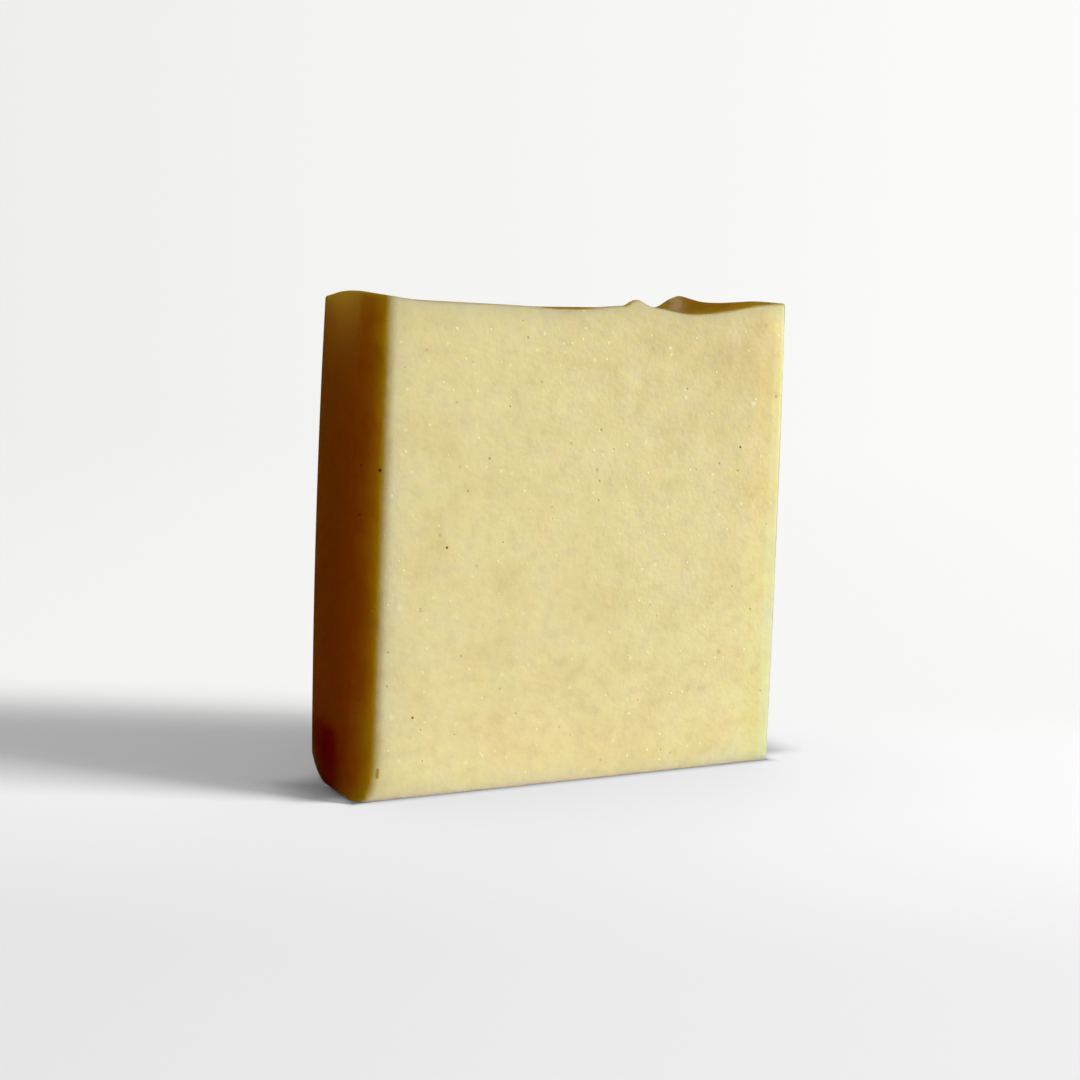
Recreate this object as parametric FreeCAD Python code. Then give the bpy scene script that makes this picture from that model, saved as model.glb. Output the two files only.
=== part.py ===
import FreeCAD, Part
import math
import os

# A bar of hand-cut soap: one slice of a poured loaf, standing on the edge that was the bottom of the mould.
# X runs along the broad cut face, Y through the slice from the front cut to the back cut, Z is up.
# The origin is under the middle of the bar, on the surface that it stands on. Lengths are millimetres.

# Driving dimensions
WIDTH = 78.6                # between the two mould walls, at the foot
THICKNESS = 22.0            # between the two cuts, where the slice is thickest
HEIGHT = 80.0               # foot to the level that the top was poured to

LEFT_LEAN = 1.30            # how far the left wall has come in at the poured level
RIGHT_LEAN = 0.40           # the same for the right wall
RIGHT_BOW = 0.30            # how far the right wall stands out half-way up, on one long arc
BOW_CENTRE = 0.50           # where the back cut stands out furthest, as a share of the height
BOW_FOOT = 1.50             # how far the back cut has fallen away from there at the foot

FRONT_RIGHT_ROUND = 0.95    # rounding of the upright edges
BACK_LEFT_ROUND = 2.00
BACK_RIGHT_ROUND = 0.95

BEVEL_WIDTH = 3.60          # the fourth upright edge, at the front left, was taken off flat: along the front cut
BEVEL_ANGLE = 50.0          # and how far its flat is turned from the front cut, in degrees
BEVEL_ROUND = 2.80          # rounding where the flat meets the cut and the wall

# How much of that bevel there is over the foot, where it runs out: (height, share of its full size)
BEVEL_RUN_OUT = [(0.0, 0.42), (0.5, 0.60), (1.0, 0.72), (2.0, 0.85), (3.5, 0.94), (6.0, 1.0)]

HEEL_LEFT = 10.5            # height and depth of the worn edge under the back cut, at the left wall
HEEL_RIGHT = 2.00           # and at the right wall
HEEL_FULLNESS = 0.74        # how far its curve stands out: 0.5 is flat, 1 is square

# The poured top: (share of the width from the left, height over the poured level), front, middle and back.
FRONT_RIM = [
    (0.00, 0.82), (0.04, 0.30), (0.10, -0.30), (0.20, -0.56), (0.32, -0.86), (0.47, -1.36),
    (0.60, -0.60), (0.66, -0.85), (0.75, -1.84), (0.84, -1.30), (0.93, -0.15), (1.00, 0.24),
]
MIDDLE = [
    (0.00, 0.66), (0.10, -0.20), (0.25, -0.95), (0.45, -1.40), (0.62, -1.75), (0.74, -2.00),
    (0.84, -1.20), (0.93, -0.10), (1.00, 0.32),
]
BACK_RIM = [
    (0.00, -0.60), (0.10, -0.75), (0.25, -1.20), (0.45, -1.48), (0.60, -1.42), (0.74, -1.25),
    (0.824, -0.95), (0.852, 0.38), (0.878, 0.98), (0.914, 0.02), (0.95, -0.58), (1.00, -0.66),
]

# The drop that set on the front rim, left of the hollow
DROP_PLACE = 0.623          # share of the width from the left
DROP_INSET = 0.45           # its middle, behind the front cut
DROP_LEVEL = -0.55          # its middle, over the poured level
DROP_LENGTH = 3.20          # along the rim
DROP_DEPTH = 3.00           # through the slice
DROP_HEIGHT = 1.95

# Working allowances
OVERSHOOT = 4.0             # how far a cutting form reaches past what it cuts
BEVEL_OVERLAP = 0.97        # keeps the bevel's roundings from ending exactly flush with the cut and the wall
CEILING = 12.0              # stock left over the poured level before the top is cut


def vector(x, y, z):
    return FreeCAD.Vector(x, y, z)


def left_x(z):
    """The left mould wall at height z."""
    return -WIDTH / 2 + LEFT_LEAN * z / HEIGHT


def right_x(z):
    """The right mould wall at height z."""
    level = z / HEIGHT
    return WIDTH / 2 - RIGHT_LEAN * level + RIGHT_BOW * (1 - (2 * level - 1) ** 2)


def back_y(z):
    """The back cut at height z, on one long arc."""
    centre = BOW_CENTRE * HEIGHT
    return THICKNESS / 2 - BOW_FOOT * ((z - centre) / centre) ** 2


def corner_arc(x, y, way_x, way_y, radius):
    """The rounding of one corner in plan: its start, middle and end points, from the X side to the Y side."""
    centre_x = x - way_x * radius
    centre_y = y - way_y * radius
    slant = radius / 2 ** 0.5
    on_wall = (centre_x + way_x * radius, centre_y)
    middle = (centre_x + way_x * slant, centre_y + way_y * slant)
    on_cut = (centre_x, centre_y + way_y * radius)
    return [on_wall, middle, on_cut]


def plan_outline(z):
    """The bar's outline at height z, a rectangle with three of its corners rounded."""
    front = -THICKNESS / 2
    back = back_y(z)
    corners = [
        corner_arc(right_x(z), front, 1, -1, FRONT_RIGHT_ROUND)[::-1],
        corner_arc(right_x(z), back, 1, 1, BACK_RIGHT_ROUND),
        corner_arc(left_x(z), back, -1, 1, BACK_LEFT_ROUND)[::-1],
    ]
    sharp = vector(left_x(z), front, z)
    edges = []
    last = sharp
    for corner in corners:
        start, middle, end = (vector(x, y, z) for x, y in corner)
        edges.append(Part.makeLine(last, start))
        edges.append(Part.Arc(start, middle, end).toShape())
        last = end
    edges.append(Part.makeLine(last, sharp))
    return Part.Wire(edges)


def uncut_bar():
    """The stock between the walls and the cuts, taller than the bar."""
    levels = [0, BOW_CENTRE * HEIGHT, HEIGHT, HEIGHT + CEILING]
    return Part.makeLoft([plan_outline(z) for z in levels], True, False)


def bevel_arc(corner, turn_from, turn_to, radius, x, y, z):
    """One rounding of the bevel. It touches both lines that meet at the corner point, turned by the two angles."""
    half = (turn_to - turn_from) / 2
    reach = radius * math.tan(half) * BEVEL_OVERLAP
    before = (corner[0] + reach * math.cos(turn_from), corner[1] - reach * math.sin(turn_from))
    after = (corner[0] - reach * math.cos(turn_to), corner[1] + reach * math.sin(turn_to))
    inward = radius * (1 / math.cos(half) - 1)
    turn = turn_from + half
    middle = (corner[0] + inward * math.sin(turn), corner[1] + inward * math.cos(turn))
    start, crown, end = (vector(x + along, y + behind, z) for along, behind in (before, middle, after))
    return Part.Arc(start, crown, end).toShape(), start, end


def bevel_outline(z, share):
    """What is taken off the front left edge at height z, as a closed outline in plan."""
    x = left_x(z)
    y = -THICKNESS / 2
    turn = math.radians(BEVEL_ANGLE)
    width = BEVEL_WIDTH * share
    depth = width * math.tan(turn)
    radius = BEVEL_ROUND * share
    on_cut, start, flat_start = bevel_arc((width, 0.0), 0.0, turn, radius, x, y, z)
    on_wall, flat_end, end = bevel_arc((0.0, depth), turn, math.pi / 2, radius, x, y, z)
    beside = vector(x - OVERSHOOT, end.y, z)
    outside = vector(x - OVERSHOOT, y - OVERSHOOT, z)
    before = vector(start.x, y - OVERSHOOT, z)
    return Part.Wire([
        on_cut,
        Part.makeLine(flat_start, flat_end),
        on_wall,
        Part.makeLine(end, beside),
        Part.makeLine(beside, outside),
        Part.makeLine(outside, before),
        Part.makeLine(before, start),
    ])


def front_left_bevel():
    """The form that takes the front left edge off. It runs out over the foot."""
    below, share = -OVERSHOOT, BEVEL_RUN_OUT[0][1]
    levels = [(below, share)] + BEVEL_RUN_OUT + [(HEIGHT + CEILING + OVERSHOOT, 1.0)]
    return Part.makeLoft([bevel_outline(z, share) for z, share in levels], True, True)


def heel_outline(x, size):
    """What is worn away under the back cut at one end, as a closed outline across the bar."""
    back = back_y(0)
    inner = vector(x, back - size, 0)
    outer = vector(x, back, size)
    middle = vector(x, back - size * (1 - HEEL_FULLNESS), size * (1 - HEEL_FULLNESS))
    outside = vector(x, back + OVERSHOOT, size)
    below = vector(x, back + OVERSHOOT, -OVERSHOOT)
    under = vector(x, back - size, -OVERSHOOT)
    return Part.Wire([
        Part.Arc(inner, middle, outer).toShape(),
        Part.makeLine(outer, outside),
        Part.makeLine(outside, below),
        Part.makeLine(below, under),
        Part.makeLine(under, inner),
    ])


def worn_heel():
    """The form that takes the wear off the heel, wide at the left and narrow at the right."""
    reach = WIDTH / 2 + OVERSHOOT
    return Part.makeLoft([heel_outline(-reach, HEEL_LEFT), heel_outline(reach, HEEL_RIGHT)], True, True)


def pour_outline(profile, y):
    """What is over one line across the poured top, as a closed outline."""
    left = left_x(HEIGHT)
    across = right_x(HEIGHT) - left
    points = [vector(left + share * across, y, HEIGHT + rise) for share, rise in profile]
    points.insert(0, points[0] - vector(OVERSHOOT, 0, 0))
    points.append(points[-1] + vector(OVERSHOOT, 0, 0))
    line = Part.BSplineCurve()
    line.interpolate(points)
    over = HEIGHT + CEILING + OVERSHOOT
    left_top = vector(points[0].x, y, over)
    right_top = vector(points[-1].x, y, over)
    return Part.Wire([
        line.toShape(),
        Part.makeLine(points[-1], right_top),
        Part.makeLine(right_top, left_top),
        Part.makeLine(left_top, points[0]),
    ])


def over_the_pour():
    """Everything over the poured surface, which is cut away from the stock."""
    front = -THICKNESS / 2
    back = THICKNESS / 2
    outlines = [
        pour_outline(FRONT_RIM, front - OVERSHOOT),
        pour_outline(FRONT_RIM, front),
        pour_outline(MIDDLE, 0),
        pour_outline(BACK_RIM, back),
        pour_outline(BACK_RIM, back + OVERSHOOT),
    ]
    return Part.makeLoft(outlines, True, False)


def drop_on_rim():
    """The small drop on the front rim, a ball pulled to its three sizes."""
    ball = Part.makeSphere(DROP_LENGTH / 2)
    pull = FreeCAD.Matrix()
    pull.scale(1, DROP_DEPTH / DROP_LENGTH, DROP_HEIGHT / DROP_LENGTH)
    drop = ball.transformGeometry(pull)
    x = left_x(HEIGHT) + DROP_PLACE * (right_x(HEIGHT) - left_x(HEIGHT))
    drop.translate(vector(x, DROP_INSET - THICKNESS / 2, HEIGHT + DROP_LEVEL))
    return drop


def soap_bar():
    """The whole bar."""
    stock = uncut_bar().cut(worn_heel()).cut(front_left_bevel())
    drop = drop_on_rim().common(stock)
    return stock.cut(over_the_pour()).fuse(drop)


def main():
    os.makedirs("parts", exist_ok=True)
    bar = soap_bar()
    bar.exportStep("parts/soap_bar.step")
    box = bar.optimalBoundingBox()
    print("valid", bar.isValid(), "solids", len(bar.Solids), "faces", len(bar.Faces))
    print("volume cm3", round(bar.Volume / 1000, 2))
    print("box", [round(value, 2) for value in (box.XMin, box.XMax, box.YMin, box.YMax, box.ZMin, box.ZMax)])


main()
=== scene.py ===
"""The looks of a hand-cut bar of soap: its poured top, its cut faces, its specks and the studio round it."""
import logging
import math
from dataclasses import dataclass, field
from enum import Enum

import bpy
import numpy as np
from mathutils import Matrix, Vector


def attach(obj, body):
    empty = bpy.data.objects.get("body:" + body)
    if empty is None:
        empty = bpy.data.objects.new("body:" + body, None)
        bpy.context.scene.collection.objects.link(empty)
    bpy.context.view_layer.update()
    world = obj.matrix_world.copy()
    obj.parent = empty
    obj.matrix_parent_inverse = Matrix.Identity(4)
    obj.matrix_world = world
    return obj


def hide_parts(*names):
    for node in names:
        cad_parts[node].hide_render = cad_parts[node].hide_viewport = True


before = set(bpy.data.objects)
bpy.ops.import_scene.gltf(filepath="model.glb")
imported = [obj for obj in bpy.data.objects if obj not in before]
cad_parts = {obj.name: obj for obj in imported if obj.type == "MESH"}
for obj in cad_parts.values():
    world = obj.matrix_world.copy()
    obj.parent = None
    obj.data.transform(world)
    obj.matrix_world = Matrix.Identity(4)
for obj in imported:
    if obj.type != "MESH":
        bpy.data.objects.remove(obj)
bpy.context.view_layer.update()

BODY = "root"
NODE = "soap_bar"
MM = 0.001

# In radii of a mark: where a scattered fleck has its full strength, and a distance that is surely outside.
FLECK_CORE = 0.55
FAR_OFF = 10.0

log = logging.getLogger("soap")

Colour = tuple[float, float, float]
Place = tuple[float, float, float]
Band = tuple[float, float]
Rim = tuple[Band, ...]
Socket = bpy.types.NodeSocket


def smooth_step(low: float, high: float, values: np.ndarray) -> np.ndarray:
    """Ease from 0 to 1 between two limits.

    Args:
        low: where the result leaves 0.
        high: where it reaches 1.
        values: the places to look at.

    Returns:
        The eased shares, one for each value.
    """
    share = np.clip((values - low) / (high - low), 0.0, 1.0)
    return share * share * (3.0 - 2.0 * share)


def smooth_curve(places: np.ndarray, heights: np.ndarray, wanted: np.ndarray) -> np.ndarray:
    """Run one smooth curve through given heights.

    Args:
        places: where the heights are given, in rising order.
        heights: the heights there, one row for each place and any number of columns.
        wanted: the places to read the curve at.

    Returns:
        The curve's heights at the wanted places.
    """
    steps = np.diff(places)
    slopes = np.diff(heights, axis=0) / steps.reshape(-1, *([1] * (heights.ndim - 1)))
    tangents = np.empty_like(heights)
    tangents[0] = slopes[0]
    tangents[-1] = slopes[-1]
    weight = (steps[:-1] / (steps[:-1] + steps[1:])).reshape(-1, *([1] * (heights.ndim - 1)))
    tangents[1:-1] = slopes[:-1] * (1 - weight) + slopes[1:] * weight
    at = np.clip(np.searchsorted(places, wanted) - 1, 0, len(places) - 2)
    width = steps[at]
    share = np.clip((wanted - places[at]) / width, 0.0, 1.0)
    square = share * share
    cube = square * share
    if heights.ndim > 1:
        index = (at, np.arange(heights.shape[1]))
        after = (at + 1, index[1])
    else:
        index = at
        after = at + 1
    return (
        heights[index] * (2 * cube - 3 * square + 1)
        + tangents[index] * width * (cube - 2 * square + share)
        + heights[after] * (3 * square - 2 * cube)
        + tangents[after] * width * (cube - square)
    )


@dataclass(frozen=True)
class PouredTop:
    """The natural top of the pour, as heights over the poured level along three lines, in millimetres."""

    front: Rim = (
        (0.00, 0.82), (0.04, 0.30), (0.10, -0.30), (0.20, -0.56), (0.32, -0.86), (0.47, -1.36),
        (0.60, -0.60), (0.66, -0.85), (0.75, -1.84), (0.84, -1.30), (0.93, -0.15), (1.00, 0.24),
    )
    middle: Rim = (
        (0.00, 0.66), (0.10, -0.20), (0.25, -0.95), (0.45, -1.40), (0.62, -1.75), (0.74, -2.00),
        (0.84, -1.20), (0.93, -0.10), (1.00, 0.32),
    )
    back: Rim = (
        (0.00, -0.60), (0.10, -0.75), (0.25, -1.20), (0.45, -1.48), (0.60, -1.42), (0.74, -1.25),
        (0.824, -0.95), (0.852, 0.38), (0.878, 0.98), (0.914, 0.02), (0.95, -0.58), (1.00, -0.66),
    )
    beyond: float = 1.4
    drop_middle: float = 9.40
    drop_depth: float = 2.00
    drop: Rim = (
        (-1.55, 0.0), (-1.40, 0.36), (-1.12, 0.66), (-0.75, 0.88), (-0.18, 1.01), (0.58, 0.92),
        (1.55, 0.52), (2.33, 0.18), (2.90, 0.04), (3.40, 0.0),
    )

    def rise(self, share: np.ndarray, depth: np.ndarray) -> np.ndarray:
        """Find the height of the top over the poured level.

        Args:
            share: places across the width, from 0 at the left wall to 1 at the right.
            depth: places through the slice, from -1 at the front cut to 1 at the back cut.

        Returns:
            The heights in millimetres.
        """
        rows = []
        for rim in (self.front, self.middle, self.back):
            places = np.array([place for place, _ in rim])
            heights = np.array([height for _, height in rim])
            rows.append(smooth_curve(places, heights, share))
        front, middle, back = rows
        run = np.array([-self.beyond, -1.0, 0.0, 1.0, self.beyond])
        return smooth_curve(run, np.stack([front, front, middle, back, back]), depth)

    def drop_rise(self, x: np.ndarray, inset: np.ndarray) -> np.ndarray:
        """Find how far the set drop stands over the rim. The front cut went through it.

        Args:
            x: places along the front cut, in millimetres.
            inset: distances behind the front cut, in millimetres.

        Returns:
            The heights in millimetres, 0 beside the drop.
        """
        places, rises = zip(*self.drop)
        outline = np.interp(x - self.drop_middle, places, rises)
        room = np.clip(1.0 - (inset / self.drop_depth) ** 2, 0.0, None)
        return outline * np.sqrt(room)


@dataclass(frozen=True)
class Bevel:
    """The upright edge that was taken off flat. Sizes in millimetres, the angle in degrees."""

    width: float = 3.60
    angle: float = 50.0
    round: float = 2.00
    arc_steps: int = 8
    flat_steps: int = 8
    run_out: Rim = ((0.0, 0.42), (0.5, 0.60), (1.0, 0.72), (2.0, 0.85), (3.5, 0.94), (6.0, 1.0))

    def share(self, height: np.ndarray) -> np.ndarray:
        """Find how much of the bevel there is at each height, as it runs out over the foot."""
        levels, shares = zip(*self.run_out)
        return np.interp(height, levels, shares)

    def line(self) -> np.ndarray:
        """Draw the bevel in plan at its full size.

        Returns:
            Points from the cut to the wall, as distances from the wall and from the cut.
        """
        turn = math.radians(self.angle)
        depth = self.width * math.tan(turn)
        points = []
        for corner, start, end in (
            ((self.width, 0.0), 0.0, turn),
            ((0.0, depth), turn, math.pi / 2),
        ):
            inward = self.round / math.cos((end - start) / 2)
            way = (start + end) / 2
            centre_x = corner[0] + inward * math.sin(way)
            centre_y = corner[1] + inward * math.cos(way)
            for angle in np.linspace(start, end, self.arc_steps + 1):
                x = centre_x - self.round * math.sin(angle)
                y = centre_y - self.round * math.cos(angle)
                points.append((x, y))
        pieces = [
            np.linspace(start, end, self.flat_steps, endpoint=False)
            for start, end in zip(points, points[1:])
        ]
        return np.concatenate([*pieces, np.array(points[-1:])])


@dataclass
class SoapBar:
    """The bar: one slice of a poured loaf, on its narrow foot. Sizes in millimetres."""

    width: float = 78.6
    thickness: float = 21.99
    height: float = 80.0
    left_lean: float = 1.30
    right_lean: float = 0.40
    right_bow: float = 0.30
    bow_centre: float = 0.50
    bow_foot: float = 1.50
    front_right_round: float = 0.95
    back_left_round: float = 2.00
    back_right_round: float = 0.95
    bevel: Bevel = field(default_factory=Bevel)
    heel_left: float = 10.5
    heel_right: float = 2.00
    heel_power: float = 2.30
    rim_round: float = 0.32
    foot_round: float = 0.30
    grid: float = 0.62
    fine_lines: int = 8
    fine_reach: float = 1.20
    drop_grid: float = 0.17
    pour_reach: float = 14.0
    top: PouredTop = field(default_factory=PouredTop)

    def lines(self, length: float) -> np.ndarray:
        """Lay grid lines from 0 to a length, closer together near both ends.

        Args:
            length: the length to divide, in millimetres.

        Returns:
            The places of the lines.
        """
        edge = np.linspace(0.0, self.fine_reach, self.fine_lines, endpoint=False)
        count = max(2, round((length - 2 * self.fine_reach) / self.grid))
        middle = np.linspace(self.fine_reach, length - self.fine_reach, count + 1)
        return np.concatenate([edge, middle, (length - edge)[::-1]])

    def lattice(self) -> tuple[np.ndarray, list[tuple[int, int, int, int]]]:
        """Make a closed box of quads on the grid lines.

        Returns:
            The points in millimetres and the quads as point numbers.
        """
        xs = self.lines(self.width) - self.width / 2
        drop_from = self.top.drop_middle + self.top.drop[0][0]
        drop_to = self.top.drop_middle + self.top.drop[-1][0]
        beside = xs[(xs < drop_from) | (xs > drop_to)]
        count = round((drop_to - drop_from) / self.drop_grid)
        xs = np.sort(np.concatenate([beside, np.linspace(drop_from, drop_to, count)]))
        ys = self.lines(self.thickness) - self.thickness / 2
        zs = self.lines(self.height)
        last = (len(xs) - 1, len(ys) - 1, len(zs) - 1)
        number: dict[tuple[int, int, int], int] = {}
        points: list[tuple[float, float, float]] = []
        quads: list[tuple[int, int, int, int]] = []

        def point(place: tuple[int, int, int]) -> int:
            """Number a lattice place, adding it the first time."""
            if place not in number:
                number[place] = len(points)
                points.append((xs[place[0]], ys[place[1]], zs[place[2]]))
            return number[place]

        for fixed in range(3):
            first, second = [axis for axis in range(3) if axis != fixed]
            for end in (0, last[fixed]):
                flip = (end == 0) == (fixed != 1)
                for a in range(last[first]):
                    for b in range(last[second]):
                        ring = []
                        for step_a, step_b in ((0, 0), (1, 0), (1, 1), (0, 1)):
                            place = [0, 0, 0]
                            place[fixed] = end
                            place[first] = a + step_a
                            place[second] = b + step_b
                            ring.append(point((place[0], place[1], place[2])))
                        quads.append(tuple(reversed(ring)) if flip else tuple(ring))
        return np.array(points), quads

    def wear_heel(self, points: np.ndarray) -> None:
        """Round the edge under the back cut, more at the left than at the right.

        Args:
            points: the lattice points, changed in place.
        """
        share = points[:, 0] / self.width + 0.5
        size = self.heel_left + (self.heel_right - self.heel_left) * share
        along = np.clip(points[:, 1] - (self.thickness / 2 - size), 0.0, None)
        down = np.clip(size - points[:, 2], 0.0, None)
        inside = (along > 0) & (down > 0)
        reach = np.maximum(along, down)
        length = (along ** self.heel_power + down ** self.heel_power) ** (1.0 / self.heel_power)
        pull = np.where(inside, reach / np.where(length > 0, length, 1.0), 1.0)
        points[:, 1] += along * (pull - 1.0)
        points[:, 2] -= down * (pull - 1.0)

    def round_rim(self, points: np.ndarray) -> None:
        """Take the sharpness off the top rim and off the foot, except at the worn heel.

        Args:
            points: the lattice points, changed in place.
        """
        for radius, upper in ((self.rim_round, True), (self.foot_round, False)):
            over_x = np.clip(np.abs(points[:, 0]) - (self.width / 2 - radius), 0.0, None)
            half = self.thickness / 2 - radius
            if upper:
                over_y = np.clip(np.abs(points[:, 1]) - half, 0.0, None)
                over_z = np.clip(points[:, 2] - (self.height - radius), 0.0, None)
            else:
                over_y = np.clip(-points[:, 1] - half, 0.0, None)
                over_z = np.clip(radius - points[:, 2], 0.0, None)
            aside = np.maximum(over_x, over_y)
            length = np.hypot(aside, over_z)
            pull = np.where(length > 0, np.maximum(aside, over_z) / np.where(length > 0, length, 1.0), 1.0)
            points[:, 0] += np.sign(points[:, 0]) * over_x * (pull - 1.0)
            points[:, 1] += np.sign(points[:, 1]) * over_y * (pull - 1.0)
            points[:, 2] += (1 if upper else -1) * over_z * (pull - 1.0)

    def round_uprights(self, points: np.ndarray) -> None:
        """Round the four upright edges.

        Args:
            points: the lattice points, changed in place.
        """
        corners = (
            (1, -1, self.front_right_round),
            (-1, 1, self.back_left_round),
            (1, 1, self.back_right_round),
        )
        for way_x, way_y, radius in corners:
            over_x = points[:, 0] * way_x - (self.width / 2 - radius)
            over_y = points[:, 1] * way_y - (self.thickness / 2 - radius)
            inside = (over_x > 0) & (over_y > 0)
            length = np.hypot(over_x, over_y)
            pull = np.where(inside, np.maximum(over_x, over_y) / np.where(length > 0, length, 1.0), 1.0)
            points[:, 0] += np.where(inside, way_x * over_x * (pull - 1.0), 0.0)
            points[:, 1] += np.where(inside, way_y * over_y * (pull - 1.0), 0.0)

    def take_bevel(self, points: np.ndarray) -> None:
        """Take the front left edge off flat.

        Args:
            points: the lattice points, changed in place.
        """
        line = self.bevel.line()
        width = line[0, 0]
        depth = line[-1, 1]
        bearing = np.arctan2(depth - line[:, 1], width - line[:, 0])
        reach = np.hypot(depth - line[:, 1], width - line[:, 0])
        order = np.argsort(bearing)
        share = self.bevel.share(points[:, 2])
        over_x = width - (points[:, 0] + self.width / 2) / share
        over_y = depth - (points[:, 1] + self.thickness / 2) / share
        inside = (over_x > 0) & (over_y > 0)
        over_x = np.where(inside, over_x, 1.0)
        over_y = np.where(inside, over_y, 1.0)
        to_line = np.interp(np.arctan2(over_y, over_x), bearing[order], reach[order])
        to_box = np.hypot(over_x, over_y) / np.maximum(over_x / width, over_y / depth)
        pull = np.where(inside, to_line / to_box, 1.0)
        points[:, 0] += np.where(inside, share * over_x * (1.0 - pull), 0.0)
        points[:, 1] += np.where(inside, share * over_y * (1.0 - pull), 0.0)

    def lean_and_bow(self, points: np.ndarray) -> None:
        """Bring the walls in towards the top and bow the back cut.

        Args:
            points: the lattice points, changed in place.
        """
        level = points[:, 2] / self.height
        share = points[:, 0] / self.width + 0.5
        right = self.right_bow * (1 - (2 * level - 1) ** 2) - self.right_lean * level
        points[:, 0] += self.left_lean * level * (1 - share) + right * share
        bow = self.bow_foot * ((level - self.bow_centre) / self.bow_centre) ** 2
        points[:, 1] -= bow * (points[:, 1] / self.thickness + 0.5)

    def pour(self, points: np.ndarray) -> None:
        """Lift and lower the top to the poured surface, with the drop on its front rim.

        Args:
            points: the lattice points, changed in place.
        """
        left = -self.width / 2 + self.left_lean
        right = self.width / 2 - self.right_lean
        share = (points[:, 0] - left) / (right - left)
        depth = points[:, 1] / (self.thickness / 2)
        rise = self.top.rise(share, depth)
        rise += self.top.drop_rise(points[:, 0], points[:, 1] + self.thickness / 2)
        weight = smooth_step(self.height - self.pour_reach, self.height, points[:, 2])
        points[:, 2] += rise * weight

    def build(self) -> bpy.types.Object:
        """Make the bar's mesh.

        Returns:
            The bar, riding on its body and standing for its CAD node.
        """
        points, quads = self.lattice()
        self.wear_heel(points)
        self.round_rim(points)
        self.round_uprights(points)
        self.take_bevel(points)
        self.lean_and_bow(points)
        self.pour(points)
        mesh = bpy.data.meshes.new("soap_bar_looks")
        mesh.from_pydata((points * MM).tolist(), [], quads)
        mesh.shade_smooth()
        mesh.update()
        bar = bpy.data.objects.new("soap_bar_looks", mesh)
        bpy.context.scene.collection.objects.link(bar)
        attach(bar, BODY)
        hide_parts(NODE)
        bar.visible_diffuse = False
        return bar


@dataclass(frozen=True)
class Mark:
    """One mark on the bar: its place and radius in millimetres. Most are on the front cut."""

    x: float
    z: float
    radius: float
    y: float = -11.0


WHITE_FLECKS = (
    Mark(-33.1, 13.6, 0.81), Mark(-32.0, 31.2, 0.59), Mark(-19.8, 4.9, 0.59), Mark(-14.8, 52.6, 0.47),
    Mark(-24.7, 73.0, 0.42), Mark(-8.9, 72.0, 0.47), Mark(-7.7, 74.6, 0.39), Mark(-32.7, 73.1, 0.34),
    Mark(-19.7, 68.3, 0.36), Mark(-13.7, 69.6, 0.34), Mark(-31.5, 65.8, 0.42), Mark(-19.3, 65.5, 0.34),
    Mark(-31.6, 59.4, 0.44), Mark(-27.5, 60.2, 0.39), Mark(-20.9, 53.5, 0.44), Mark(-30.4, 52.8, 0.49),
    Mark(11.9, 56.8, 0.55), Mark(16.0, 72.5, 0.44), Mark(16.3, 71.5, 0.36), Mark(1.7, 70.5, 0.39),
    Mark(-4.1, 73.1, 0.34), Mark(19.4, 64.3, 0.47), Mark(2.3, 48.7, 0.44), Mark(16.7, 45.8, 0.47),
    Mark(26.9, 44.3, 0.52), Mark(33.0, 63.1, 0.62), Mark(-26.3, 32.5, 0.42), Mark(-31.7, 6.4, 0.44),
    Mark(-12.5, 5.2, 0.44), Mark(-14.6, 6.4, 0.36), Mark(-21.8, 11.5, 0.44), Mark(-27.5, 17.3, 0.44),
    Mark(14.6, 36.2, 0.55), Mark(12.1, 35.4, 0.44), Mark(10.5, 20.3, 0.47), Mark(13.6, 17.0, 0.39),
    Mark(-1.0, 16.1, 0.55), Mark(7.6, 6.3, 0.44), Mark(2.2, 1.8, 0.39), Mark(25.0, 4.3, 0.39),
    Mark(22.4, 4.0, 0.34), Mark(-0.1, 75.6, 0.36), Mark(-3.9, 71.7, 0.39), Mark(-12.9, 52.1, 0.29),
    Mark(-22.0, 29.0, 0.39), Mark(-10.1, 29.0, 0.39), Mark(-13.7, 19.1, 0.39), Mark(-22.7, 19.4, 0.39),
    Mark(18.5, 78.3, 0.34),
)
BROWN_SPECKS = (
    Mark(-28.3, 71.9, 0.41), Mark(-20.3, 70.1, 0.30), Mark(-22.1, 53.4, 0.38), Mark(-22.9, 63.7, 0.41),
    Mark(-7.9, 66.9, 0.46), Mark(-2.2, 56.9, 0.38), Mark(2.8, 52.4, 0.51), Mark(-5.4, 46.5, 0.35),
    Mark(-25.3, 42.6, 0.46), Mark(-28.5, 30.5, 0.35), Mark(-18.7, 37.3, 0.35), Mark(-14.0, 16.8, 0.41),
    Mark(28.0, 20.2, 0.57), Mark(32.2, 59.3, 0.38), Mark(33.0, 55.3, 0.30), Mark(25.7, 48.1, 0.38),
    Mark(-2.8, 9.5, 0.38), Mark(5.3, 3.1, 0.35), Mark(13.9, 29.2, 0.32), Mark(19.0, 3.1, 0.38),
    Mark(26.2, 28.9, 0.30), Mark(2.8, 75.0, 0.35), Mark(12.6, 72.3, 0.32), Mark(31.9, 76.2, 0.35),
    Mark(34.8, 76.5, 0.46),
)
# Pinholes: the relief dips there, and their dark colour is painted shade inside them.
HOLES = (
    Mark(-24.1, 40.5, 0.26), Mark(-29.5, 13.2, 0.26), Mark(30.6, 55.7, 0.24), Mark(-35.5, 53.1, 0.34, -10.2),
)
# Pits drawn only as painted shade, with no dip in the relief.
PITS = (
    Mark(-35.25, 5.15, 0.34, -10.86), Mark(-35.30, 4.95, 0.38, -10.87), Mark(-35.30, 4.70, 0.42, -10.88),
    Mark(-35.35, 4.45, 0.44, -10.88), Mark(-35.35, 4.20, 0.42, -10.88), Mark(-35.35, 3.95, 0.36, -10.88),
)
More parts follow.
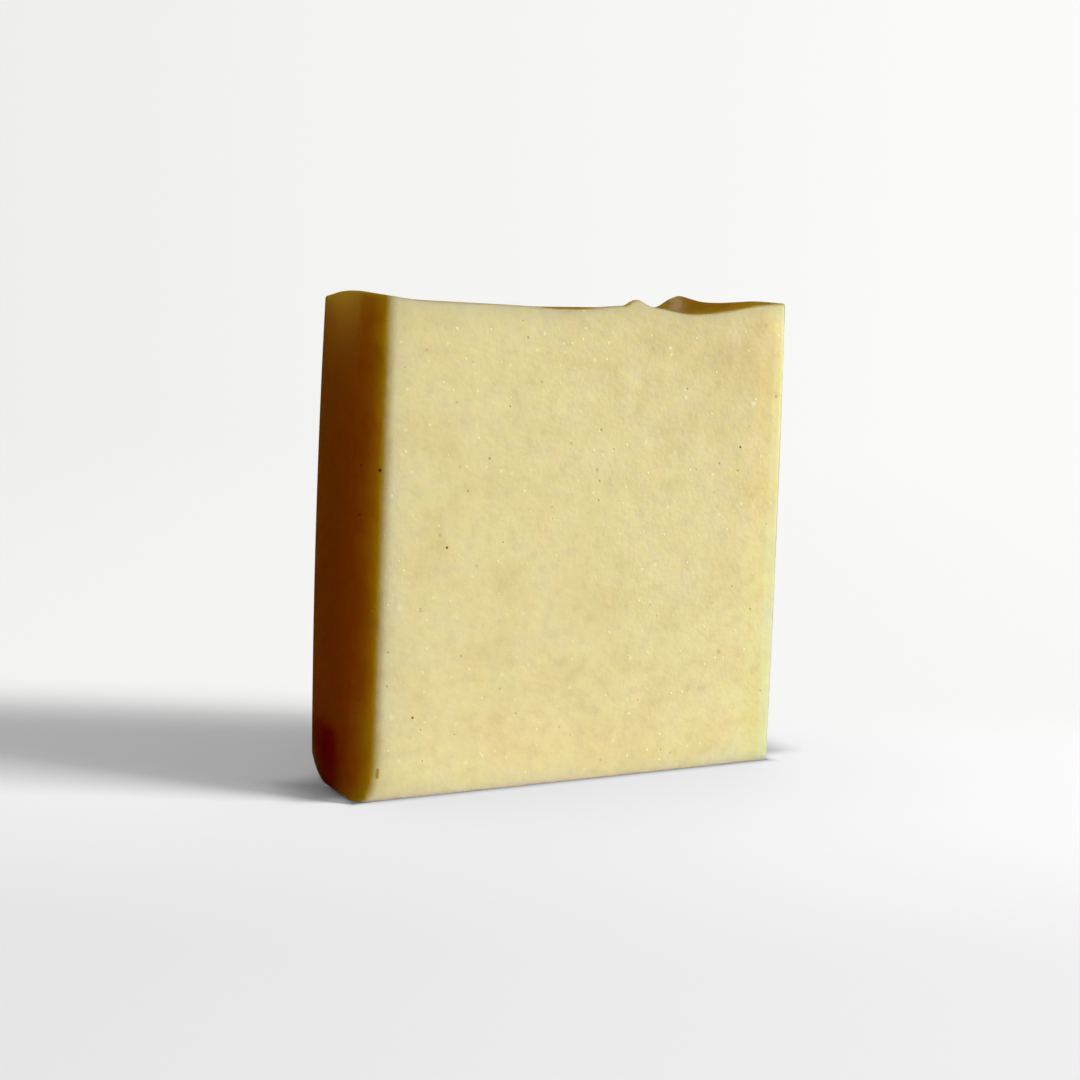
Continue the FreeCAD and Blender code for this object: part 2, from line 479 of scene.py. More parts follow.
PALE_BLOTCHES = (
    Mark(9.2, 67.4, 2.2), Mark(8.6, 63.4, 2.0), Mark(16.2, 51.2, 1.6), Mark(17.7, 54.1, 1.3),
    Mark(7.9, 47.4, 2.4), Mark(17.4, 64.2, 0.9), Mark(-4.5, 62.7, 1.6), Mark(-15.3, 63.5, 2.0),
)
PEACH_PATCHES = (
    Mark(-26.9, 72.7, 3.4), Mark(-23.2, 60.9, 4.2), Mark(19.5, 34.9, 4.0), Mark(30.0, 6.2, 4.5),
    Mark(-7.4, 41.1, 3.6), Mark(29.7, 72.3, 4.0), Mark(6.1, 30.5, 3.0),
)
GREEN_PATCHES = (
    Mark(-25.3, 41.0, 3.6), Mark(-28.1, 48.3, 3.0), Mark(2.5, 75.3, 4.0), Mark(13.4, 39.5, 3.2),
    Mark(-14.0, 16.6, 5.0), Mark(2.8, 15.3, 4.5), Mark(-5.8, 75.3, 3.0),
)
BRUISES = (Mark(22.9, 14.9, 1.2), Mark(24.9, 13.7, 1.1))


class NodeBoard:
    """A short way to lay out a material's nodes. Lengths on it are millimetres on the bar."""

    def __init__(self, material: bpy.types.Material) -> None:
        """Take over a material's node tree."""
        material.use_nodes = True
        self.nodes = material.node_tree.nodes
        self.links = material.node_tree.links

    def feed(self, node: bpy.types.Node, place: int | str, value: object) -> None:
        """Set one input of a node, from a socket or to a plain value.

        Args:
            node: the node.
            place: the input's number or name.
            value: a socket to link, or a number or colour.
        """
        if isinstance(value, Socket):
            self.links.new(value, node.inputs[place])
        elif isinstance(value, tuple) and node.inputs[place].type == "RGBA":
            node.inputs[place].default_value = (*value, 1.0)
        else:
            node.inputs[place].default_value = value

    def place(self) -> Socket:
        """Give the place on the bar in millimetres."""
        source = self.nodes.new("ShaderNodeTexCoord")
        scaled = self.nodes.new("ShaderNodeVectorMath")
        scaled.operation = "SCALE"
        self.feed(scaled, 0, source.outputs["Object"])
        self.feed(scaled, "Scale", 1.0 / MM)
        return scaled.outputs["Vector"]

    def sum(self, operation: str, *values: object) -> Socket:
        """Work out one number from others.

        Args:
            operation: the kind of sum, by its Blender name.
            values: sockets or numbers.

        Returns:
            The socket with the result.
        """
        node = self.nodes.new("ShaderNodeMath")
        node.operation = operation
        for number, value in enumerate(values):
            self.feed(node, number, value)
        return node.outputs[0]

    def ease(self, value: object, low: float, high: float, top: float = 1.0) -> Socket:
        """Ease a number from 0 at one limit to a top value at the other.

        Args:
            value: the number, as a socket or plain.
            low: where the result is 0.
            high: where it reaches the top.
            top: the value there.

        Returns:
            The socket with the result.
        """
        node = self.nodes.new("ShaderNodeMapRange")
        node.interpolation_type = "SMOOTHSTEP"
        self.feed(node, "Value", value)
        self.feed(node, "From Min", low)
        self.feed(node, "From Max", high)
        self.feed(node, "To Max", top)
        return node.outputs["Result"]

    def blend(self, share: object, first: object, second: object, way: str = "MIX") -> Socket:
        """Blend two colours.

        Args:
            share: how much of the second colour, as a socket or a number.
            first: the first colour.
            second: the second colour.
            way: the kind of blend, by its Blender name.

        Returns:
            The socket with the colour.
        """
        node = self.nodes.new("ShaderNodeMix")
        node.data_type = "RGBA"
        node.blend_type = way
        self.feed(node, 0, share)
        self.feed(node, 6, first)
        self.feed(node, 7, second)
        return node.outputs[2]

    def clamp(self, value: Socket, low: float, high: float) -> Socket:
        """Keep a number between two limits."""
        return self.sum("MINIMUM", self.sum("MAXIMUM", value, low), high)

    def most(self, *values: Socket) -> Socket:
        """Take the largest of some numbers."""
        largest = values[0]
        for value in values[1:]:
            largest = self.sum("MAXIMUM", largest, value)
        return largest

    def along(self, place: Socket, way: Band) -> Socket:
        """Measure how far a place lies along a level direction."""
        node = self.nodes.new("ShaderNodeVectorMath")
        node.operation = "DOT_PRODUCT"
        self.feed(node, 0, place)
        self.feed(node, 1, (*way, 0.0))
        return node.outputs["Value"]

    def cloud(self, place: Socket, size: float, detail: float = 2.0) -> Socket:
        """Make soft random patches of about the given size in millimetres.

        Args:
            place: the place on the bar.
            size: the size of the patches.
            detail: how many finer layers they have.

        Returns:
            A socket with values round 0.5.
        """
        node = self.nodes.new("ShaderNodeTexNoise")
        self.feed(node, "Vector", place)
        self.feed(node, "Scale", 1.0 / size)
        self.feed(node, "Detail", detail)
        return node.outputs["Fac"]

    def flecks(self, place: Socket, apart: float, radius: float) -> Socket:
        """Scatter flecks of many sizes through the soap, which the cuts then show.

        Args:
            place: the place on the bar.
            apart: the distance between flecks in millimetres.
            radius: the largest radius in millimetres.

        Returns:
            A socket that is 1 in the flecks and 0 outside.
        """
        node = self.nodes.new("ShaderNodeTexVoronoi")
        self.feed(node, "Vector", place)
        self.feed(node, "Scale", 1.0 / apart)
        parts = self.nodes.new("ShaderNodeSeparateColor")
        self.feed(parts, 0, node.outputs["Color"])
        size = self.sum("MULTIPLY", parts.outputs[0], radius / apart)
        share = self.sum("DIVIDE", node.outputs["Distance"], size)
        return self.ease(share, 1.0, FLECK_CORE)

    def marks(self, place: Socket, marks: tuple[Mark, ...], soft: float) -> Socket:
        """Lay out single marks.

        Args:
            place: the place on the bar.
            marks: the marks.
            soft: the share of the radius over which a mark fades.

        Returns:
            A socket that is 1 in the marks and 0 outside.
        """
        nearest: object = FAR_OFF
        for mark in marks:
            gap = self.nodes.new("ShaderNodeVectorMath")
            gap.operation = "DISTANCE"
            self.feed(gap, 0, place)
            self.feed(gap, 1, (mark.x, mark.y, mark.z))
            scaled = self.sum("MULTIPLY", gap.outputs["Value"], 1.0 / mark.radius)
            nearest = self.sum("MINIMUM", nearest, scaled)
        return self.ease(nearest, 1.0, 1.0 - soft)


@dataclass(frozen=True)
class SoapFinish:
    """Cured soap: waxy, pale cream, see-through enough for light to bleed round its edges. Sizes in mm."""

    width: float
    height: float
    low: Colour = (0.925, 0.802, 0.425)
    middle: Colour = (0.880, 0.785, 0.395)
    high: Colour = (0.800, 0.670, 0.290)
    dusky: Colour = (0.965, 0.955, 0.915)
    light: Colour = (1.012, 1.022, 1.060)
    dull: Colour = (0.950, 0.950, 0.945)
    bright: Colour = (1.020, 1.025, 1.035)
    peach: Colour = (1.0, 0.970, 0.975)
    green: Colour = (0.975, 1.0, 0.965)
    pale: Colour = (1.0, 0.99, 0.98)
    milky: Colour = (0.95, 0.89, 0.50)
    white: Colour = (0.99, 0.95, 0.54)
    brown: Colour = (0.58, 0.43, 0.16)
    # Painted shade inside the pinholes and the pits.
    hole_shade: Colour = (0.22, 0.10, 0.02)
    pit_shade: Colour = (0.55, 0.38, 0.03)
    bruise: Colour = (0.94, 0.84, 0.90)
    # Painted light: a warm glow towards the right wall, for light that bleeds in through it.
    painted_warm_glow: Colour = (1.06, 1.02, 0.91)
    # Painted highlight: a bright strip just inside the right edge.
    painted_highlight_strip: Colour = (1.06, 1.09, 1.22)
    # Painted shade: the rounded right edge is darkened.
    edge: Colour = (0.87, 0.84, 0.88)
    # Painted light: the lower right of the bar is made brighter.
    painted_light_lift: Colour = (1.08, 1.06, 1.05)
    # Partly the rind's own amber tone and partly painted shade: the mould walls and the poured top are darker
    # and more amber than the cuts.
    rind_and_shade: Colour = (0.90, 0.74, 0.31)
    bleed_mm: Colour = (8.2, 6.5, 0.3)
    low_to_middle: Band = (-0.25, 0.65)
    middle_to_high: Band = (0.65, 1.35)
    cloud_size: float = 9.0
    dark_clouds: Band = (0.50, 0.64)
    light_clouds: Band = (0.50, 0.36)
    mottle_size: float = 2.2
    dark_mottle: Band = (0.50, 0.68)
    light_mottle: Band = (0.50, 0.32)
    patch_soft: float = 0.9
    bruise_share: float = 0.8
    blotch_soft: float = 0.5
    blotch_share: float = 0.35
    wander_size: float = 1.0 / 0.45
    wander_reach: float = 3.0
    rind_band: Band = (0.72, 0.97)
    rind_cover: float = 0.7
    small_apart: float = 2.1
    small_radius: float = 0.34
    tiny_apart: float = 1.15
    tiny_radius: float = 0.17
    tiny_share: float = 0.45
    few_apart: float = 3.4
    few_radius: float = 0.34
    fleck_soft: float = 0.8
    speck_soft: float = 0.9
    hole_soft: float = 0.5
    pit_soft: float = 0.7
    white_share: float = 0.85
    brown_share: float = 0.6
    dots_opaque: float = 0.85
    roughness: float = 0.50
    rind_roughness: float = 0.40
    uneven_size: float = 4.0
    uneven_detail: float = 4.0
    uneven_gloss: float = 0.35
    gloss: float = 0.35
    grain_height: float = 0.035
    grain_size: float = 0.8
    wave_size: float = 6.0
    wave_rise: float = 4.0
    fleck_rise: float = 0.8
    speck_dip: float = 2.0
    hole_dip: float = 10.0
    top_band: Band = (74.0, 80.0)
    right_band: Band = (31.0, 35.5)
    strip_band: Band = (36.3, 37.3)
    edge_shade_band: Band = (38.5, 38.9)
    sunny_side: Band = (22.0, 35.0)
    sunny_foot: Band = (62.0, 12.0)

    def colour(self, board: NodeBoard, place: Socket, rind_and_shade: Socket) -> Socket:
        """Mix the soap's colour, with light and shade painted near the right edge, at the lower right and on
        the rind.

        Args:
            board: where the nodes go.
            place: the place on the bar.
            rind_and_shade: 1 on the mould walls and on the poured top, 0 on the cuts.

        Returns:
            The socket with the colour.
        """
        axes = board.nodes.new("ShaderNodeSeparateXYZ")
        board.feed(axes, 0, place)
        x = axes.outputs["X"]
        z = axes.outputs["Z"]
        across = board.sum("MULTIPLY", x, 1.0 / self.width)
        climb = board.sum("MULTIPLY_ADD", z, 1.0 / self.height, across)
        colour = board.blend(board.ease(climb, *self.low_to_middle), self.low, self.middle)
        colour = board.blend(board.ease(climb, *self.middle_to_high), colour, self.high)
        wander = self.wander(board, place)
        clouds = board.cloud(place, self.cloud_size)
        mottle = board.cloud(place, self.mottle_size)
        bruised = board.marks(wander, BRUISES, self.patch_soft)
        # Painted light: 1 at the lower right, where the colour is made brighter.
        corner = board.sum(
            "MULTIPLY",
            board.ease(x, *self.sunny_side),
            board.ease(z, *self.sunny_foot),
        )
        for share, tint in (
            (board.ease(clouds, *self.dark_clouds), self.dusky),
            (board.ease(clouds, *self.light_clouds), self.light),
            (board.ease(mottle, *self.dark_mottle), self.dull),
            (board.ease(mottle, *self.light_mottle), self.bright),
            (board.marks(wander, PEACH_PATCHES, self.patch_soft), self.peach),
            (board.marks(wander, GREEN_PATCHES, self.patch_soft), self.green),
            (board.sum("MULTIPLY", bruised, self.bruise_share), self.bruise),
            (board.ease(z, *self.top_band), self.pale),
            (corner, self.painted_light_lift),
            # painted light: warmer and brighter towards the right wall
            (board.ease(x, *self.right_band), self.painted_warm_glow),
            # painted highlight strip just inside the right edge
            (board.ease(x, *self.strip_band), self.painted_highlight_strip),
            # painted shade on the rounded right edge
            (board.ease(x, *self.edge_shade_band), self.edge),
        ):
            colour = board.blend(share, colour, board.blend(1.0, colour, tint, "MULTIPLY"))
        blotches = board.marks(wander, PALE_BLOTCHES, self.blotch_soft)
        colour = board.blend(board.sum("MULTIPLY", blotches, self.blotch_share), colour, self.milky)
        # Rind tone with painted shade on the walls and the top.
        return board.blend(rind_and_shade, colour, self.rind_and_shade)

    def wander(self, board: NodeBoard, place: Socket) -> Socket:
        """Shift places a little at random, so that soft patches get uneven outlines.

        Args:
            board: where the nodes go.
            place: the place on the bar.

        Returns:
            The socket with the shifted place.
        """
        noise = board.nodes.new("ShaderNodeTexNoise")
        board.feed(noise, "Vector", place)
        board.feed(noise, "Scale", 1.0 / self.wander_size)
        shift = board.nodes.new("ShaderNodeVectorMath")
        shift.operation = "MULTIPLY_ADD"
        board.feed(shift, 0, noise.outputs["Color"])
        board.feed(shift, 1, (self.wander_reach,) * 3)
        board.feed(shift, 2, (-self.wander_reach / 2,) * 3)
        total = board.nodes.new("ShaderNodeVectorMath")
        total.operation = "ADD"
        board.feed(total, 0, place)
        board.feed(total, 1, shift.outputs["Vector"])
        return total.outputs["Vector"]

    def rind_share(self, board: NodeBoard) -> Socket:
        """Find the mould walls and the poured top by the way that they face.

        Args:
            board: where the nodes go.

        Returns:
            A socket that is 1 on the rind and 0 on the cuts.
        """
        surface = board.nodes.new("ShaderNodeNewGeometry")
        facing = board.nodes.new("ShaderNodeSeparateXYZ")
        board.feed(facing, 0, surface.outputs["True Normal"])
        aside = board.sum("ABSOLUTE", facing.outputs["X"])
        up = board.sum("ABSOLUTE", facing.outputs["Z"])
        return board.ease(board.sum("MAXIMUM", aside, up), *self.rind_band)

    def scattered(self, board: NodeBoard, place: Socket, rind_and_shade: Socket) -> Socket:
        """Scatter small and tiny white flecks, fainter on the rind.

        Args:
            board: where the nodes go.
            place: the place on the bar.
            rind_and_shade: 1 on the mould walls and on the poured top, 0 on the cuts.

        Returns:
            A socket that is 1 in the flecks and 0 outside.
        """
        cut = board.sum("SUBTRACT", 1.0, board.sum("MULTIPLY", rind_and_shade, self.rind_cover))
        small = board.flecks(place, self.small_apart, self.small_radius)
        tiny = board.flecks(place, self.tiny_apart, self.tiny_radius)
        fainter = board.sum("MULTIPLY", cut, self.tiny_share)
        return board.most(board.sum("MULTIPLY", small, cut), board.sum("MULTIPLY", tiny, fainter))

    def matte(self, board: NodeBoard, place: Socket, rind_and_shade: Socket) -> Socket:
        """Make the roughness: smoother on the rind, and uneven all over.

        Args:
            board: where the nodes go.
            place: the place on the bar.
            rind_and_shade: 1 on the mould walls and on the poured top, 0 on the cuts.

        Returns:
            The socket with the roughness.
        """
        smoother = self.rind_roughness - self.roughness
        matte = board.sum("MULTIPLY_ADD", rind_and_shade, smoother, self.roughness)
        cloud = board.cloud(place, self.uneven_size, self.uneven_detail)
        uneven = board.sum("SUBTRACT", cloud, 0.5)
        return board.sum("MULTIPLY_ADD", uneven, self.uneven_gloss, matte)

    def relief(self, board: NodeBoard, place: Socket, raised: Socket, few: Socket, holes: Socket) -> Socket:
        """Make the fine relief: waves, grain, raised flecks, and dips at the specks and the holes.

        Args:
            board: where the nodes go.
            place: the place on the bar.
            raised: 1 in the scattered white flecks.
            few: 1 in the scattered brown specks.
            holes: 1 in the pinholes.

        Returns:
            The socket with the surface's direction.
        """
        waves = board.sum("MULTIPLY", board.cloud(place, self.wave_size), self.wave_rise)
        grain = board.sum("ADD", board.cloud(place, self.grain_size), waves)
        height = board.sum("MULTIPLY_ADD", raised, self.fleck_rise, grain)
        height = board.sum("SUBTRACT", height, board.sum("MULTIPLY", few, self.speck_dip))
        height = board.sum("SUBTRACT", height, board.sum("MULTIPLY", holes, self.hole_dip))
        bump = board.nodes.new("ShaderNodeBump")
        board.feed(bump, "Height", height)
        board.feed(bump, "Distance", self.grain_height * MM)
        return bump.outputs["Normal"]

    def make(self) -> bpy.types.Material:
        """Make the material.

        Returns:
            The soap material.
        """
        material = bpy.data.materials.new("soap")
        board = NodeBoard(material)
        shader = board.nodes["Principled BSDF"]
        place = board.place()
        rind_and_shade = self.rind_share(board)
        colour = self.colour(board, place, rind_and_shade)
        scattered = self.scattered(board, place, rind_and_shade)
        few = board.flecks(place, self.few_apart, self.few_radius)
        white = board.most(scattered, board.marks(place, WHITE_FLECKS, self.fleck_soft))
        brown = board.most(few, board.marks(place, BROWN_SPECKS, self.speck_soft))
        holes = board.marks(place, HOLES, self.hole_soft)
        pits = board.marks(place, PITS, self.pit_soft)
        colour = board.blend(board.sum("MULTIPLY", white, self.white_share), colour, self.white)
        colour = board.blend(board.sum("MULTIPLY", brown, self.brown_share), colour, self.brown)
        # painted shade in the pits and the pinholes
        colour = board.blend(pits, colour, self.pit_shade)
        colour = board.blend(holes, colour, self.hole_shade)
        dots = board.most(white, brown, pits, holes)
        board.feed(shader, "Base Color", colour)
        board.feed(shader, "Roughness", self.matte(board, place, rind_and_shade))
        board.feed(shader, "Specular IOR Level", self.gloss)
        board.feed(shader, "Subsurface Weight", board.sum("MULTIPLY_ADD", dots, -self.dots_opaque, 1.0))
        board.feed(shader, "Subsurface Radius", self.bleed_mm)
        board.feed(shader, "Subsurface Scale", MM)
        board.feed(shader, "Normal", self.relief(board, place, scattered, few, holes))
        return material


@dataclass(frozen=True)
class PhotoCamera:
    """The camera at the photograph's viewing angle. Place in millimetres, angles in degrees."""

    place: Place = (-152.0, -290.4, 85.5)
    yaw: float = 27.36
    pitch: float = 8.03
    roll: float = 1.68
    focal_px: float = 1946.0
    frame_px: float = 1080.0
    sensor_mm: float = 36.0

    def make(self) -> None:
        """Make the camera and set it as the scene's."""
        data = bpy.data.cameras.new("camera")
        data.sensor_width = self.sensor_mm
        data.lens = self.focal_px / self.frame_px * self.sensor_mm
        camera = bpy.data.objects.new("camera", data)
        bpy.context.scene.collection.objects.link(camera)
        yaw, pitch, roll = (math.radians(angle) for angle in (self.yaw, self.pitch, self.roll))
        ahead = Vector((
            math.sin(yaw) * math.cos(pitch),
            math.cos(yaw) * math.cos(pitch),
            -math.sin(pitch),
        ))
        level = Vector((math.cos(yaw), -math.sin(yaw), 0.0))
        up = level.cross(ahead)
        across = level * math.cos(roll) + up * math.sin(roll)
        upright = up * math.cos(roll) - level * math.sin(roll)
        turn = Matrix((across, upright, -ahead)).transposed()
        camera.matrix_world = Matrix.Translation(Vector(self.place) * MM) @ turn.to_4x4()
        bpy.context.scene.camera = camera


class Lights(Enum):
    """What each studio light falls on."""

    BAR = "bar"
    FLOOR = "floor"


@dataclass(frozen=True)
class StudioLight:
    """One soft oblong light. Angles in degrees, distances in metres."""

    name: str
    azimuth: float
    elevation: float
    distance: float
    wide: float
    high: float
    watts: float
    falls_on: Lights
    colour: Colour = (1.0, 1.0, 1.0)
    aim_height: float = 0.04

    def make(self, receivers: dict[Lights, bpy.types.Collection], shades: bpy.types.Collection) -> None:
        """Make the light and limit what it falls on.

        Args:
            receivers: the collection that each kind of light falls on.
            shades: what casts shadows in this light.
        """
        data = bpy.data.lights.new(self.name, "AREA")
        data.shape = "RECTANGLE"
        data.size = self.wide
        data.size_y = self.high
        data.energy = self.watts
        data.color = self.colour
        light = bpy.data.objects.new(self.name, data)
        bpy.context.scene.collection.objects.link(light)
        azimuth = math.radians(self.azimuth)
        elevation = math.radians(self.elevation)
        way = Vector((
            math.cos(azimuth) * math.cos(elevation),
            math.sin(azimuth) * math.cos(elevation),
            math.sin(elevation),
        ))
        aim = Vector((0.0, 0.0, self.aim_height))
        light.location = aim + way * self.distance
        light.rotation_euler = (-way).to_track_quat("-Z", "Y").to_euler()
        light.light_linking.receiver_collection = receivers[self.falls_on]
        light.light_linking.blocker_collection = shades


@dataclass(frozen=True)
class Flag:
    """A card that is only there as a shadow, in one light. Corners in millimetres."""

    name: str
    corners: tuple[Place, Place, Place, Place]
    shades: str

    def make(self) -> bpy.types.Object:
        """Make the card, unseen except by shadow rays.

        Returns:
            The card.
        """
        mesh = bpy.data.meshes.new(self.name)
        mesh.from_pydata([Vector(corner) * MM for corner in self.corners], [], [(0, 1, 2, 3)])
        card = bpy.data.objects.new(self.name, mesh)
        bpy.context.scene.collection.objects.link(card)
        card.visible_camera = False
        card.visible_diffuse = False
        card.visible_glossy = False
        card.visible_transmission = False
        return card


@dataclass(frozen=True)
class StudioFloor:
    """The pale floor, which fades into a plain bright backdrop behind the bar. Sizes in metres."""

    reach: float = 6.0
    paint: Colour = (0.8, 0.8, 0.8)
    glow: float = 0.06
    backdrop: Colour = (0.91, 0.91, 0.90)
    # Painted light: the floor glows brighter nearer the bar.
    near_glow: float = 0.10
    near_band: Band = (-0.10, -0.02)
    far_band: Band = (0.4, 1.2)
    fade_from: float = 0.014
    fade_to: float = 0.060
    ahead: Band = (0.46, 0.888)
    across: Band = (0.888, -0.46)
    wall_at: float = 0.6
    wall_high: float = 1.2
    side_level: float = 1.0075
    side_rise: float = 0.24
    side_reach: float = 0.35
    foot_half: Band = (0.0393, 0.0110)
    heel_middle: float = 0.00325
    heel_slope: float = 0.108
    # Painted shade: a contact shadow round the foot, and darker floor beside the left wall.
    contact_reach: float = 0.0018
    contact_dark: float = 0.42
    corner_reach: float = 0.012
    corner_dark: float = 0.52
    corner_band: Band = (-0.0095, -0.005)
    corner_end: Band = (0.014, 0.002)

    def make(self) -> bpy.types.Object:
        """Make the floor.

        Returns:
            The floor.
        """
        points = []
        for away, height in ((-self.reach, 0.0), (self.wall_at, 0.0), (self.wall_at, self.wall_high)):
            for side in (-self.reach, self.reach):
                points.append((
                    self.ahead[0] * away + self.across[0] * side,
                    self.ahead[1] * away + self.across[1] * side,
                    height,
                ))
        mesh = bpy.data.meshes.new("floor")
        mesh.from_pydata(points, [], [(0, 1, 3, 2), (2, 3, 5, 4)])
        floor = bpy.data.objects.new("floor", mesh)
        bpy.context.scene.collection.objects.link(floor)
        mesh.materials.append(self.finish())
        floor.visible_diffuse = False
        floor.visible_glossy = False
        floor.visible_transmission = False
        return floor

    def shade(self, board: NodeBoard, place: Socket) -> Socket:
        """Paint shade on the floor: a painted contact shadow where it meets the bar, and painted shade a
        little further out beside the left wall.

        Args:
            board: where the nodes go.
            place: the place on the floor.

        Returns:
            The socket with the share of light that is left.
        """
        axes = board.nodes.new("ShaderNodeSeparateXYZ")
        board.feed(axes, 0, place)
        past_x = board.sum("SUBTRACT", board.sum("ABSOLUTE", axes.outputs["X"]), self.foot_half[0])
        in_front = board.sum("SUBTRACT", board.sum("MULTIPLY", axes.outputs["Y"], -1.0), self.foot_half[1])
        heel = board.sum("MULTIPLY_ADD", axes.outputs["X"], self.heel_slope, self.heel_middle)
        past_y = board.sum("MAXIMUM", in_front, board.sum("SUBTRACT", axes.outputs["Y"], heel))
        nearest = board.sum("MAXIMUM", past_x, past_y)
        reach = board.sum("MULTIPLY", nearest, 1.0 / self.contact_reach)
        contact = board.sum("SQRT", board.clamp(reach, 0.0, 1.0))
        contact = board.sum("MULTIPLY_ADD", contact, 1.0 - self.contact_dark, self.contact_dark)
        beside = board.ease(nearest, self.corner_reach, 0.0, self.corner_dark)
        behind = board.ease(axes.outputs["Y"], *self.corner_band)
        before = board.ease(axes.outputs["Y"], *self.corner_end)
        here = board.sum("MULTIPLY", behind, before)
        corner = board.sum("SUBTRACT", 1.0, board.sum("MULTIPLY", beside, here))
        return board.sum("MULTIPLY", contact, corner)

    def finish(self) -> bpy.types.Material:
        """Make the floor's paint: lit in front, with painted light that grows nearer the bar, and an even
        glow where it fades into the backdrop.

        Returns:
            The floor material.
        """
        material = bpy.data.materials.new("floor")
        board = NodeBoard(material)
        board.nodes.clear()
        place = board.nodes.new("ShaderNodeNewGeometry").outputs["Position"]
        away = board.along(place, self.ahead)
        beside = board.along(place, self.across)
        shade = self.shade(board, place)
        paint = board.nodes.new("ShaderNodeBsdfDiffuse")
        painted = board.nodes.new("ShaderNodeVectorMath")
        painted.operation = "SCALE"
        board.feed(painted, 0, self.paint)
        board.feed(painted, "Scale", shade)
        board.feed(paint, "Color", painted.outputs["Vector"])
        glow = board.nodes.new("ShaderNodeEmission")
        # painted light: more glow nearer the bar
        near = board.sum("ADD", board.ease(away, *self.near_band, self.near_glow), self.glow)
        board.feed(glow, "Strength", board.sum("MULTIPLY", near, shade))
        lit = board.nodes.new("ShaderNodeAddShader")
        board.feed(lit, 0, paint.outputs[0])
        board.feed(lit, 1, glow.outputs[0])
        backdrop = board.nodes.new("ShaderNodeEmission")
        board.feed(backdrop, "Color", self.backdrop)
        side = board.clamp(beside, -self.side_reach, self.side_reach)
        board.feed(backdrop, "Strength", board.sum("MULTIPLY_ADD", side, self.side_rise, self.side_level))
        distance = board.nodes.new("ShaderNodeVectorMath")
        distance.operation = "LENGTH"
        board.feed(distance, 0, place)
        far = board.ease(distance.outputs["Value"], *self.far_band)
        mix = board.nodes.new("ShaderNodeMixShader")
        board.feed(mix, 0, board.sum("MAXIMUM", board.ease(away, self.fade_from, self.fade_to), far))
        board.feed(mix, 1, lit.outputs[0])
        board.feed(mix, 2, backdrop.outputs[0])
        out = board.nodes.new("ShaderNodeOutputMaterial")
        board.feed(out, "Surface", mix.outputs[0])
        return material


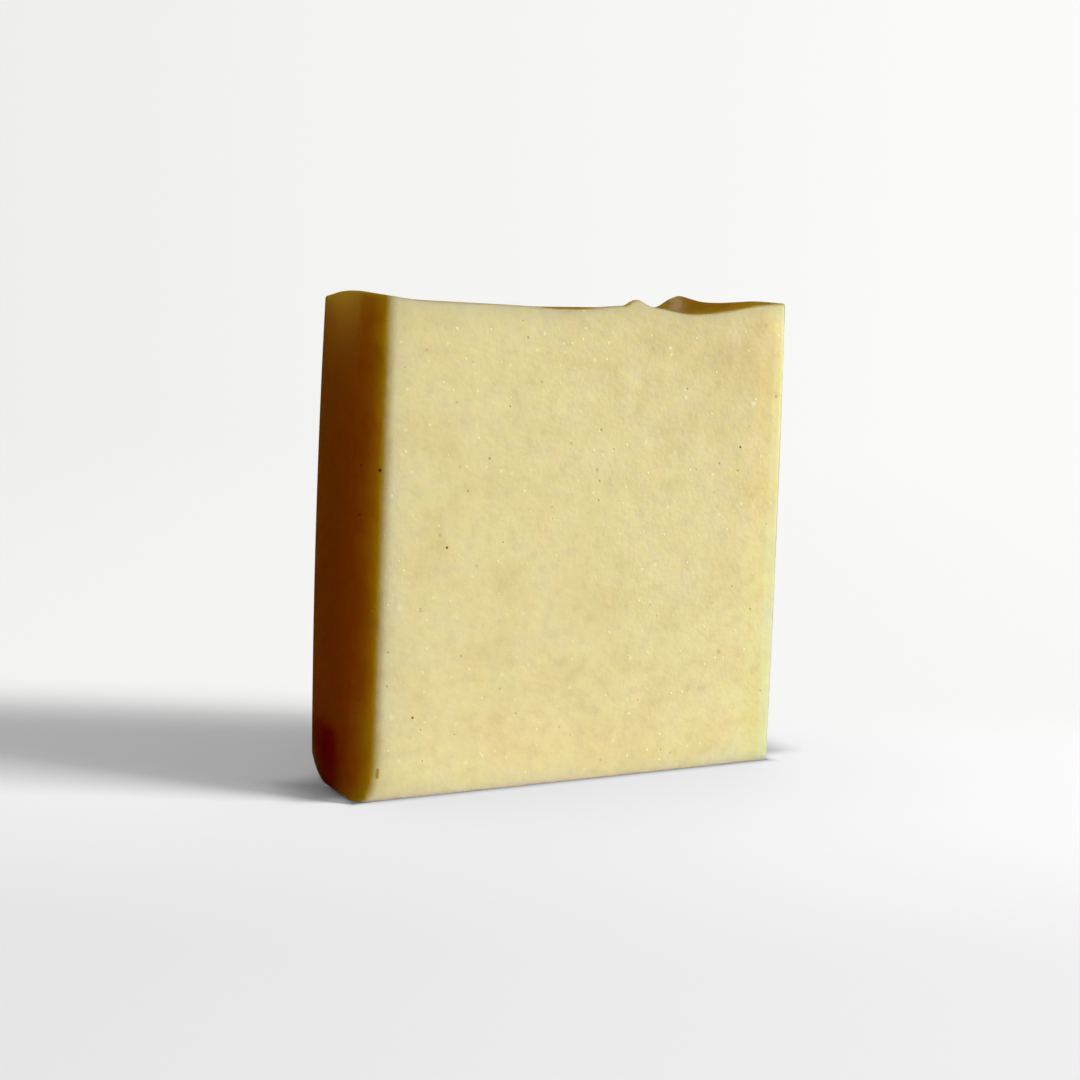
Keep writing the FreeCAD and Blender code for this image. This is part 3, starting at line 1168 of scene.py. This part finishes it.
@dataclass
class Studio:
    """The floor, the lights and the air round the bar."""

    floor: StudioFloor = field(default_factory=StudioFloor)
    air: Colour = (0.86, 0.86, 0.855)
    lights: tuple[StudioLight, ...] = (
        StudioLight("window", -42.0, 1.0, 6.0, 1.20, 0.96, 425.0, Lights.BAR, (0.996, 0.998, 0.976)),
        StudioLight("right_side", 20.0, 0.0, 1.0, 0.4, 0.4, 3.5, Lights.BAR, (1.0, 0.70, 0.40)),
        StudioLight("red_side", 200.0, 0.0, 1.0, 0.6, 0.6, 0.60, Lights.BAR, (1.0, 0.015, 0.0)),
        StudioLight("amber_side", 190.0, 45.0, 1.0, 0.2, 0.2, 0.36, Lights.BAR, (1.0, 0.60, 0.0)),
        StudioLight("warm_top", 100.0, 80.0, 1.0, 0.5, 0.5, 1.95, Lights.BAR, (1.0, 0.62, 0.02)),
        StudioLight("crest", 180.0, 11.0, 0.0455, 0.010, 0.020, 0.0002, Lights.BAR, (1.0, 0.82, 0.25), 0.078),
        StudioLight("lip", 25.5, 9.7, 0.0337, 0.004, 0.004, 0.0001, Lights.BAR, (1.0, 0.95, 0.80), 0.081),
        StudioLight("sky", 62.0, 8.0, 2.0, 1.0, 0.3, 0.9, Lights.BAR, (1.0, 0.75, 0.15)),
        StudioLight("foot", -90.0, -35.0, 0.025, 0.078, 0.010, 0.003, Lights.BAR, (1.0, 0.62, 0.15), 0.0),
        StudioLight("floor_window", -40.0, 26.0, 2.0, 0.72, 0.40, 57.0, Lights.FLOOR),
        StudioLight("floor_sky", 90.0, 88.0, 1.2, 2.0, 2.0, 9.0, Lights.FLOOR),
    )
    flags: tuple[Flag, ...] = (
        Flag(
            "wall_flag",
            ((41.0, -11.7, -5.0), (41.0, 13.0, -5.0), (41.0, 13.0, 90.0), (41.0, -11.7, 90.0)),
            "window",
        ),
        Flag(
            "brow_flag",
            ((-45.0, -10.4, 77.5), (45.0, -10.4, 77.5), (45.0, -10.4, 110.0), (-45.0, -10.4, 110.0)),
            "window",
        ),
        Flag(
            "edge_flag",
            ((39.6, -9.8, -5.0), (60.0, -9.8, -5.0), (60.0, -9.8, 90.0), (39.6, -9.8, 90.0)),
            "right_side",
        ),
        Flag(
            "corner_flag",
            ((-39.6, -11.3, 0.0), (-36.0, -11.0, 0.0), (-36.0, -11.0, 76.0), (-39.6, -11.3, 76.0)),
            "floor_window",
        ),
        Flag(
            "heel_flag",
            ((-60.0, -11.0, 12.0), (-41.0, -2.0, 12.0), (-41.0, 30.0, 12.0), (-60.0, 30.0, 12.0)),
            "amber_side",
        ),
        Flag(
            "sole_flag",
            ((-45.0, -4.0, -0.4), (-25.0, -4.0, -0.4), (-25.0, 12.0, -0.4), (-45.0, 12.0, -0.4)),
            "foot",
        ),
        Flag(
            "low_flag",
            ((-60.0, -20.0, 11.0), (-39.1, -20.0, 11.0), (-39.1, 30.0, 11.0), (-60.0, 30.0, 11.0)),
            "warm_top",
        ),
    )

    def build(self, bar: bpy.types.Object) -> None:
        """Build the floor, light it and the bar, and set plain colours for the picture.

        Args:
            bar: the soap, which the bar's own lights fall on.
        """
        floor = self.floor.make()
        receivers: dict[Lights, bpy.types.Collection] = {}
        for kind, thing in ((Lights.BAR, bar), (Lights.FLOOR, floor)):
            receivers[kind] = bpy.data.collections.new(kind.value + "_light")
            receivers[kind].objects.link(thing)
        for light in self.lights:
            shades = bpy.data.collections.new(light.name + "_shades")
            shades.objects.link(bar)
            for flag in self.flags:
                if flag.shades == light.name:
                    shades.objects.link(flag.make())
            light.make(receivers, shades)
        scene = bpy.context.scene
        scene.view_settings.view_transform = "Standard"
        world = bpy.data.worlds.new("air")
        world.use_nodes = True
        background = world.node_tree.nodes["Background"]
        background.inputs["Color"].default_value = (*self.air, 1.0)
        background.inputs["Strength"].default_value = 1.0
        world.cycles_visibility.diffuse = False
        world.cycles_visibility.glossy = False
        world.cycles_visibility.transmission = False
        world.cycles_visibility.scatter = False
        scene.world = world


def main() -> None:
    """Build the bar, dress it, and set the studio and the camera round it."""
    logging.basicConfig(level=logging.INFO, format="%(name)s: %(message)s")
    shape = SoapBar()
    bar = shape.build()
    log.info("bar built, %d quads", len(bar.data.polygons))
    bar.data.materials.append(SoapFinish(shape.width, shape.height).make())
    log.info("bar dressed")
    Studio().build(bar)
    log.info("studio built")
    PhotoCamera().make()
    log.info("camera set")


if __name__ == "__main__":
    main()
